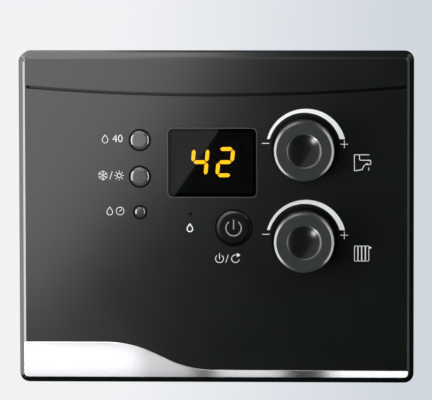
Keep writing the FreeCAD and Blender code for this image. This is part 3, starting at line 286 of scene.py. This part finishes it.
def knob_grey(name):
    """Satin on the face, darker and duller in the dish, and with painted shade on the sides, by the
    distance from the axis.
    """
    made = finish(name, (0.018, 0.020, 0.020), spread=0.08, scale=70.0, roughness=0.22, grain=0.02)
    tree = made.node_tree
    place = add_node(tree, "ShaderNodeTexCoord")
    aside = change_vector(tree, "SUBTRACT", place.outputs["Generated"], (0.5, 0.0, 0.5))
    flat = change_vector(tree, "MULTIPLY", aside.outputs["Vector"], (1.0, 0.0, 1.0))
    radius = change_vector(tree, "LENGTH", flat.outputs["Vector"])
    # One ramp sets shine and tone: a duller, darker dish, and painted shade on the sides past the face's
    # edge
    shine_with_painted_shade = add_node(tree, "ShaderNodeValToRGB", {"Fac": radius.outputs["Value"]})
    stops = shine_with_painted_shade.color_ramp.elements
    while len(stops) < len(KNOB_SHINE_AND_SHADE):
        stops.new(1.0)
    for stop, (share, level) in zip(stops, KNOB_SHINE_AND_SHADE):
        stop.position = share
        stop.color = (level, level, level, 1.0)
    shader = tree.nodes["Principled BSDF"]
    tree.links.new(shine_with_painted_shade.outputs["Color"], shader.inputs["Specular IOR Level"])
    tone = shader.inputs["Base Color"].links[0].from_socket
    tree.links.new(blend(tree, "MULTIPLY", 1.0, tone, shine_with_painted_shade.outputs["Color"]), shader.inputs["Base Color"])
    return made


def clear_lens(name):
    clear = {"Transmission_Weight": 0.2, "IOR": 1.49}
    return finish(name, grey(0.020), spread=0.05, scale=90.0, roughness=0.10, **clear)


def pipe_end(name):
    """The dark ends of the light pipes."""
    return finish(name, grey(0.003), spread=0.05, scale=90.0, roughness=0.5, Specular_IOR_Level=0.1)


def inner_plastic(name):
    return finish(name, grey(0.012), spread=0.10, scale=70.0, roughness=0.5, grain=0.06)


def housing_grey(name):
    relief = {"grain": 0.12, "grain_scale": 1600.0}
    return finish(name, grey(0.055), spread=0.08, scale=50.0, roughness=0.5, **relief)


def circuit_board(name):
    return finish(name, (0.012, 0.095, 0.035), spread=0.25, scale=180.0, roughness=0.35, grain=0.05)


def steel(name):
    return finish(name, (0.58, 0.58, 0.57), spread=0.06, scale=120.0, roughness=0.28, Metallic=1.0)


def brass(name):
    return finish(name, (0.72, 0.52, 0.22), spread=0.06, scale=120.0, roughness=0.26, Metallic=1.0)


def aluminium(name):
    return finish(name, (0.70, 0.71, 0.72), spread=0.05, scale=120.0, roughness=0.32, Metallic=1.0)


def lamination(name):
    return finish(name, (0.16, 0.15, 0.14), spread=0.18, scale=400.0, roughness=0.45, Metallic=0.8)


def relay_case(name):
    return finish(name, (0.02, 0.07, 0.20), spread=0.08, scale=150.0, roughness=0.35)


def terminal_green(name):
    return finish(name, (0.03, 0.22, 0.07), spread=0.08, scale=150.0, roughness=0.4)


def socket_white(name):
    return finish(name, (0.72, 0.71, 0.66), spread=0.04, scale=150.0, roughness=0.42)


def fuse_glass(name):
    clear = {"Transmission_Weight": 0.9, "IOR": 1.5}
    return finish(name, (0.85, 0.88, 0.88), spread=0.03, scale=150.0, roughness=0.05, **clear)


def cable_grey(name):
    return finish(name, (0.28, 0.28, 0.285), spread=0.06, scale=400.0, roughness=0.5)


def rubber(name):
    return finish(name, grey(0.016), spread=0.12, scale=200.0, roughness=0.7, grain=0.10)


FINISHES = (
    black_moulding, chrome, smoked_pane, gloss_black, bezel_grey, ring_black, white_scale, lit_amber,
    unlit_grey, button_grey, knob_grey, clear_lens, pipe_end, inner_plastic, housing_grey, circuit_board,
    steel, brass, aluminium, lamination, relay_case, terminal_green, socket_white, fuse_glass, cable_grey,
    rubber,
)
MATERIALS = {maker.__name__: maker(maker.__name__) for maker in FINISHES}


def dress_nodes():
    """Gives every CAD node the finish of its slot, and the unlit light pipes a darker one."""
    for subpart in frame["record"]["subparts"]:
        piece = frame["nodes"][subpart["node"]]
        piece.data.materials.clear()
        piece.data.materials.append(MATERIALS[subpart["material_slot"]])
    frame["nodes"]["indicator_light_pipes"].data.materials[0] = MATERIALS["pipe_end"]


# Printed signs: thin plates on the front, drawn in mm round a centre

def polar(radius, degrees, centre=(0.0, 0.0)):
    """The point at a distance from a centre, at an angle counted anticlockwise from the right."""
    turn = math.radians(degrees)
    return centre[0] + radius * math.cos(turn), centre[1] + radius * math.sin(turn)


def arc(radius, start, end, steps, centre=(0.0, 0.0)):
    """Points along part of a circle, between two angles in degrees."""
    return [polar(radius, start + (end - start) * i / steps, centre) for i in range(steps + 1)]


def sign_place(name):
    """The point on the front round which a sign is drawn: across and up, in mm."""
    node, across, up = SIGN_PLACES[name]
    low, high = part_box(node)
    return (low.x + high.x) / 2 / MM + across, (low.z + high.z) / 2 / MM + up


class Sign:
    """One printed sign, built up from lines and plates into a single mesh."""

    def __init__(self, name, face=FACE, body="panel", slot="white_scale"):
        self.name = name
        self.place = sign_place(name)
        self.face = face
        self.body = body
        self.slot = slot
        self.points = []
        self.faces = []

    def corner(self, point, depth):
        """Adds one point of the mesh and gives its number."""
        across = (self.place[0] + point[0]) * MM
        up = (self.place[1] + point[1]) * MM
        self.points.append((across, self.face + depth * MM, up))
        return len(self.points) - 1

    def plate(self, outline):
        """A flat plate with this outline, counted anticlockwise as seen from the front."""
        front = [self.corner(point, -PRINT_THICK) for point in outline]
        back = [self.corner(point, PRINT_SUNK) for point in outline]
        count = len(outline)
        self.faces.append(front)
        self.faces.append(back[::-1])
        for here in range(count):
            after = (here + 1) % count
            self.faces.append([front[here], back[here], back[after], front[after]])

    def line(self, points, width=STROKE, closed=False):
        """A band of even width along the points."""
        count = len(points)
        rows = []
        for i, point in enumerate(points):
            before = points[i - 1] if i or closed else point
            after = points[(i + 1) % count] if i < count - 1 or closed else point
            side = self.across(before, point, after, width)
            left = (point[0] - side[0], point[1] - side[1])
            right = (point[0] + side[0], point[1] + side[1])
            # A row holds the left front, left back, right front and right back points
            depths = (-PRINT_THICK, PRINT_SUNK)
            rows.append([self.corner(edge, depth) for edge in (left, right) for depth in depths])
        for i in range(count if closed else count - 1):
            row = rows[i]
            after = rows[(i + 1) % count]
            self.faces.append([row[0], row[2], after[2], after[0]])
            self.faces.append([row[1], after[1], after[3], row[3]])
            self.faces.append([row[0], after[0], after[1], row[1]])
            self.faces.append([row[2], row[3], after[3], after[2]])
        if not closed:
            first, last = rows[0], rows[-1]
            self.faces.append([first[0], first[1], first[3], first[2]])
            self.faces.append([last[0], last[2], last[3], last[1]])

    @staticmethod
    def across(before, point, after, width):
        """Half the band's width at a point, square to the line there and longer in a bend."""
        one = Vector((point[0] - before[0], point[1] - before[1]))
        two = Vector((after[0] - point[0], after[1] - point[1]))
        one = one.normalized() if one.length else two.normalized()
        two = two.normalized() if two.length else one
        along = (one + two).normalized()
        reach = width / 2 / max(0.5, along.dot(one))
        return along.y * reach, -along.x * reach

    def make(self):
        """Makes the object and lets it ride on its body."""
        mesh = bpy.data.meshes.new(self.name)
        mesh.from_pydata(self.points, [], self.faces)
        mesh.materials.append(MATERIALS[self.slot])
        piece = bpy.data.objects.new(self.name, mesh)
        bpy.context.scene.collection.objects.link(piece)
        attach(piece, self.body)


def draw_minus(knob):
    """A minus at the low end of a dial."""
    sign = Sign(f"{knob}_minus")
    sign.line([(-DIAL_SIGN_REACH, 0.0), (DIAL_SIGN_REACH, 0.0)])
    sign.make()


def draw_plus(knob):
    """A plus at the high end of a dial: one corner and the end of one arm, turned to all four sides."""
    sign = Sign(f"{knob}_plus")
    half = STROKE / 2
    corners = [(half, half), (half, DIAL_SIGN_REACH), (-half, DIAL_SIGN_REACH)]
    outline = []
    for _ in range(4):
        outline += corners
        corners = [(-up, across) for across, up in corners]
    sign.plate(outline)
    sign.make()


def draw_tap():
    """A water tap in outline, with a drop under its spout."""
    sign = Sign("tap_sign")
    left, neck, right, top = -5.5, -2.1, 5.5, 5.4
    bend = arc(5.2, 172.0, 96.0, 8, centre=(5.0, -top))
    spout = [(2.9, -1.3), (4.9, -1.3), (right, -0.7), (right, 1.2), (5.0, 1.7), (-1.4, 1.7), (neck, 2.4)]
    sign.line([(neck, top), (left, top), (left, -top), *bend[:-1], *spout, (neck, top)])
    sign.line([(-2.5, top), (4.6, top)])
    sign.line([(4.2, -3.2), (4.2, -5.2)])
    sign.make()


def draw_radiator():
    """A radiator with four sections and a tap at its upper right."""
    sign = Sign("radiator_sign")
    width, half, shoulder = 2.5, 4.6, 0.6
    for i in range(4):
        middle = (i - 2.2) * width
        top = arc(width / 2, 150.0, 30.0, 6, centre=(middle, half - shoulder))
        bottom = arc(width / 2, -30.0, -150.0, 6, centre=(middle, shoulder - half))
        sign.line([*top, *bottom], closed=True)
    end = 1.3 * width
    sign.plate([(end, half - 1.6), (end + 1.9, half - shoulder), (end, half + 0.3)])
    sign.make()


def flame_outline(height):
    """A drop with a pointed top, as points round it."""
    radius = height * 0.36
    shoulder_x, shoulder_z = 0.25 * height, 0.16 * height
    round_part = arc(radius, -210.0, 30.0, 18, centre=(0.0, radius - height / 2))
    return [*round_part, (shoulder_x, shoulder_z), (0.0, height / 2), (-shoulder_x, shoulder_z)]


def draw_flame():
    """A small flame beside its indicator."""
    sign = Sign("flame_sign")
    sign.line(flame_outline(height=5.2), width=0.75, closed=True)
    sign.make()


def draw_power(name, radius, width, bar, **options):
    """A broken ring with a bar in its gap; bar is the height of the bar's top as a share of the radius."""
    sign = Sign(name, **options)
    sign.line(arc(radius, 126.0, 414.0, 36), width)
    sign.line([(0.0, -0.15 * radius), (0.0, bar * radius)], width)
    sign.make()


def draw_reset():
    """An arrow that turns back on itself."""
    sign = Sign("reset_sign")
    sign.line(arc(2.6, 60.0, 350.0, 28))
    sign.plate([(3.4, 2.5), (1.0, 3.9), (1.0, 0.9)])
    sign.make()


def draw_slash(name):
    """A slanted stroke between two signs."""
    sign = Sign(name)
    sign.line([(-0.9, -2.7), (0.9, 2.7)])
    sign.make()


def draw_sun():
    """A disc with eight rays, for summer."""
    sign = Sign("summer_sign")
    radius, ray_start, ray_end = 1.4, 2.3, 3.3
    sign.line(arc(radius, 0.0, 345.0, 23), width=0.5, closed=True)
    for i in range(8):
        sign.line([polar(ray_start, 45 * i), polar(ray_end, 45 * i)], width=0.45)
    sign.make()


def draw_snow():
    """A six-armed snow crystal, for winter."""
    sign = Sign("winter_sign")
    arm, fork, twig, spread = 3.4, 2.0, 3.1, 24
    for i in range(6):
        turn = 90 + 60 * i
        sign.line([(0.0, 0.0), polar(arm, turn)], width=0.4)
        for side in (-1, 1):
            sign.line([polar(fork, turn), polar(twig, turn + side * spread)], width=0.32)
    sign.make()


def draw_drop(name):
    """A water drop in outline."""
    sign = Sign(name)
    sign.line(flame_outline(height=5.4), closed=True)
    sign.make()


def draw_gauge():
    """A round pressure gauge with its needle."""
    sign = Sign("pressure_sign")
    sign.line(arc(2.6, 0.0, 350.0, 35), closed=True)
    sign.line([(-0.5, -0.5), (1.3, 1.3)])
    sign.make()


def draw_number(text, height):
    """A plain number printed on the front."""
    name = f"number_{text}"
    across, up = sign_place(name)
    curve = bpy.data.curves.new(name, "FONT")
    curve.body = text
    curve.size = height / DIGIT_SHARE * MM
    curve.align_x = "CENTER"
    curve.align_y = "CENTER"
    curve.extrude = PRINT_THICK * MM
    curve.offset = -DIGIT_THINNING * MM
    curve.materials.append(MATERIALS["white_scale"])
    piece = bpy.data.objects.new(name, curve)
    piece.location = (across * MM, FACE, up * MM)
    piece.rotation_euler = (math.pi / 2, 0.0, 0.0)
    bpy.context.scene.collection.objects.link(piece)
    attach(piece, "panel")


def draw_signs():
    """All the marks on the front."""
    for knob in KNOBS:
        draw_minus(knob)
        draw_plus(knob)
    draw_tap()
    draw_radiator()
    draw_flame()
    on_cap = {"face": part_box("power_button")[0].y, "body": "power_push", "slot": "cable_grey"}
    draw_power("power_sign", radius=5.2, width=0.8, bar=1.12, **on_cap)
    draw_power("standby_sign", radius=2.7, width=STROKE, bar=1.4)
    draw_slash("reset_slash")
    draw_reset()
    draw_number("40", height=5.0)
    draw_drop("hot_water_sign")
    draw_snow()
    draw_slash("season_slash")
    draw_sun()
    draw_drop("pressure_drop_sign")
    draw_gauge()


# Tongues in the ends of the curved joint

def seam_height(across):
    """Height of the curved joint's middle line at a distance from the panel's centre line, in mm."""
    return SEAM_LOW + SEAM_RADIUS - math.sqrt(SEAM_RADIUS**2 - across**2)


def fill_seam_ends():
    """Two small tongues that carry the bevelled edge across the curved joint where it meets the sides."""
    half_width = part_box("main_fascia")[1].x / MM
    count = len(EDGE_PROFILE)
    for side, name in ((-1, "seam_end_left"), (1, "seam_end_right")):
        points = []
        for shift in (-SEAM_GAP / 2, SEAM_GAP / 2):
            for inset, depth in EDGE_PROFILE:
                across = half_width - inset
                points.append((side * across * MM, FACE + depth * MM, (seam_height(across) + shift) * MM))
        faces = [tuple(range(count))[::-side], tuple(range(count, 2 * count))[::side]]
        for here in range(count):
            after = (here + 1) % count
            faces.append((here, after, after + count, here + count)[::side])
        mesh = bpy.data.meshes.new(name)
        mesh.from_pydata(points, [], faces)
        mesh.materials.append(MATERIALS["black_moulding"])
        piece = bpy.data.objects.new(name, mesh)
        bpy.context.scene.collection.objects.link(piece)
        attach(piece, "panel")


# Studio: lamps, world, floor and camera

def light_only(made, names):
    """Keeps a lamp's light to some of the pieces."""
    lit = bpy.data.collections.new(f"{made.name}_lit")
    for name in names:
        lit.objects.link(frame["nodes"].get(name) or bpy.data.objects[name])
    made.light_linking.receiver_collection = lit


def lamp(name, place, size, radiance, aim=CENTRE, lit=()):
    """A soft rectangular lamp that the camera doesn't see, kept to the pieces in lit where that has any."""
    width, height = size
    light = bpy.data.lights.new(name, "AREA")
    light.shape = "RECTANGLE"
    light.size = width
    light.size_y = height
    light.energy = radiance * math.pi * width * height
    made = bpy.data.objects.new(name, light)
    made.location = place
    made.rotation_euler = (Vector(aim) - Vector(place)).to_track_quat("-Z", "Y").to_euler()
    made.visible_camera = False
    bpy.context.scene.collection.objects.link(made)
    if lit:
        light_only(made, lit)
    return made


def card(name, place, size, radiance, turn=0.0, lit=()):
    """A flat lamp in front of the panel, square to it, for its face and its trim to mirror."""
    across, up = place
    made = lamp(name, (across, FACE - CARD_GAP, up), size, radiance, lit=lit)
    made.rotation_euler = (math.pi / 2, math.radians(turn), 0.0)


def light_face():
    """A slanted soft box that the face mirrors, and two cards for the glare on the pane."""
    card("soft_box", place=(-0.1666, 0.2127), size=(0.381, 0.564), radiance=2.9, turn=33.0)
    card("pane_glare", place=(-0.0466, 0.0147), size=(0.0362, 0.114), radiance=0.5, turn=34.0)
    card("pane_line", place=(-0.0347, 0.0067), size=(0.0076, 0.114), radiance=0.4, turn=34.0)


def light_edges():
    """Strips for the bevels on both sides, and soft lamps for the left side and the top."""
    left_pieces = MOULDINGS + KNOBS
    lamp("left_strip", place=(-0.41, -0.46, -0.05), size=(0.12, 0.85), radiance=20.0, lit=left_pieces)
    lamp("edge_strip", place=(-0.469, -0.352, -0.07), size=(0.13, 0.40), radiance=18.0, lit=MOULDINGS)
    lamp("right_strip", place=(0.53, -0.51, -0.05), size=(0.10, 0.85), radiance=1.9, lit=MOULDINGS)
    lamp("left_side", place=(-0.63, -0.03, 0.10), size=(0.35, 0.95), radiance=3.3)
    corner, top, top_front = (-0.13, -0.08, 0.11), (-0.235, -0.04, 0.0), (-0.26, -0.04, 0.0)
    lamp("corner", place=(-0.48, -0.10, 0.46), size=(0.30, 0.26), radiance=4.0, aim=corner)
    lamp("top", place=(-0.235, -0.12, 0.61), size=(0.43, 0.25), radiance=4.3, aim=top)
    lamp("top_front", place=(-0.26, -0.54, 0.49), size=(0.36, 0.12), radiance=3.8, aim=top_front)


def light_room():
    """Large lamps on the right and behind, mostly for the sides that the photograph doesn't show."""
    lamp("right_fill", place=(0.75, -0.55, 0.75), size=(0.60, 0.60), radiance=9.0)
    lamp("right_back", place=(1.0, 0.6, 0.6), size=(0.6, 0.6), radiance=7.0)
    lamp("back", place=(-0.5, 1.3, 0.7), size=(0.8, 0.8), radiance=6.0)


def light_controls():
    """Lamps for the knobs, the two small buttons and the lens, which light nothing else."""
    lamp("knob_strip", place=(0.31, -0.31, -0.02), size=(0.08, 0.55), radiance=12.0, lit=KNOBS)
    lamp("dish_lamp", place=(-0.615, -1.18, -0.75), size=(0.24, 0.28), radiance=140.0, lit=KNOBS)
    lamp("button_left", place=(-0.31, -0.384, 0.03), size=(0.16, 0.30), radiance=20.0, lit=BUTTONS)
    lamp("button_right", place=(0.206, -0.384, 0.03), size=(0.07, 0.30), radiance=22.0, lit=BUTTONS)


def light_trim():
    """Cards for the trim to mirror. The left one also lights the face beside the trim."""
    card("trim_left", place=(-0.128, -0.146), size=(0.104, 0.032), radiance=1.38)
    card("trim_fade", place=(-0.055, -0.148), size=(0.042, 0.028), radiance=0.80, lit=TRIM)
    card("trim_middle", place=(0.008, -0.1545), size=(0.052, 0.015), radiance=1.3, lit=TRIM)
    card("trim_right", place=(0.160, -0.1545), size=(0.184, 0.015), radiance=2.0, lit=TRIM)


def make_world():
    """A pale backdrop, and a room that is dim in front and, in reflections, below and on the right."""
    world = bpy.data.worlds.new("studio")
    bpy.context.scene.world = world
    world.use_nodes = True
    tree = world.node_tree
    shade = tree.nodes["Background"]
    rays = add_node(tree, "ShaderNodeLightPath")
    place = add_node(tree, "ShaderNodeTexCoord")
    axes = add_node(tree, "ShaderNodeSeparateXYZ", {"Vector": place.outputs["Generated"]})
    rightward = rescale(tree, axes.outputs["X"], start=-0.11, end=0.04)
    backdrop = ramp(tree, rightward, BACKDROP_LEFT, BACKDROP_RIGHT)
    behind = rescale(tree, axes.outputs["Y"], start=-0.15, end=0.25)
    room = ramp(tree, behind, ROOM_FRONT, ROOM_BACK)
    seen = combine(tree, "MAXIMUM", rays.outputs["Is Camera Ray"], rays.outputs["Is Transmission Ray"])
    tree.links.new(blend(tree, "MIX", seen, room, backdrop), shade.inputs["Color"])
    leftward = rescale(tree, axes.outputs["X"], start=0.0, end=-0.17)
    upward = rescale(tree, axes.outputs["Z"], start=-0.45, end=-0.15)
    mirrored = combine(tree, "MULTIPLY", leftward, upward)
    strength = add_node(tree, "ShaderNodeMix", A=1.0)
    tree.links.new(rays.outputs["Is Glossy Ray"], strength.inputs["Factor"])
    tree.links.new(mirrored, strength.inputs["B"])
    tree.links.new(strength.outputs["Result"], shade.inputs["Strength"])


def make_floor():
    """A wide pale floor, well below the panel, which hangs free. The camera sees it a little paler."""
    bpy.ops.mesh.primitive_plane_add(size=FLOOR_SIZE, location=(0.0, 0.0, FLOOR_LEVEL))
    floor = bpy.context.object
    floor.name = "studio_floor"
    glow = {"Emission_Color": FLOOR_GLOW}
    paper = finish("floor_paper", grey(0.72), spread=0.02, scale=3.0, roughness=0.8, **glow)
    rays = add_node(paper.node_tree, "ShaderNodeLightPath")
    strength = paper.node_tree.nodes["Principled BSDF"].inputs["Emission Strength"]
    paper.node_tree.links.new(rays.outputs["Is Camera Ray"], strength)
    floor.data.materials.append(paper)
    floor.visible_glossy = False


def make_camera():
    """The photograph's view: a little from the right and from above, with a long lens."""
    azimuth = math.radians(AZIMUTH)
    elevation = math.radians(ELEVATION)
    aim = Vector((0.0, FACE, AIM_HEIGHT * MM))
    flat = math.cos(elevation)
    away = Vector((math.sin(azimuth) * flat, -math.cos(azimuth) * flat, math.sin(elevation)))
    data = bpy.data.cameras.new("camera")
    data.sensor_width = SENSOR_WIDTH
    data.lens = LENS
    camera = bpy.data.objects.new("camera", data)
    camera.location = aim + away * DISTANCE
    # Level lines on the front slant in this view, and half of their slant is turned back
    level = Quaternion((0.0, 0.0, 1.0), -azimuth * math.sin(elevation) / 2)
    camera.rotation_euler = ((-away).to_track_quat("-Z", "Y") @ level).to_euler()
    bpy.context.scene.collection.objects.link(camera)
    bpy.context.scene.camera = camera


dress_nodes()
draw_signs()
fill_seam_ends()
light_face()
light_edges()
light_room()
light_controls()
light_trim()
make_world()
make_floor()
make_camera()
bpy.context.scene.view_settings.view_transform = "Standard"
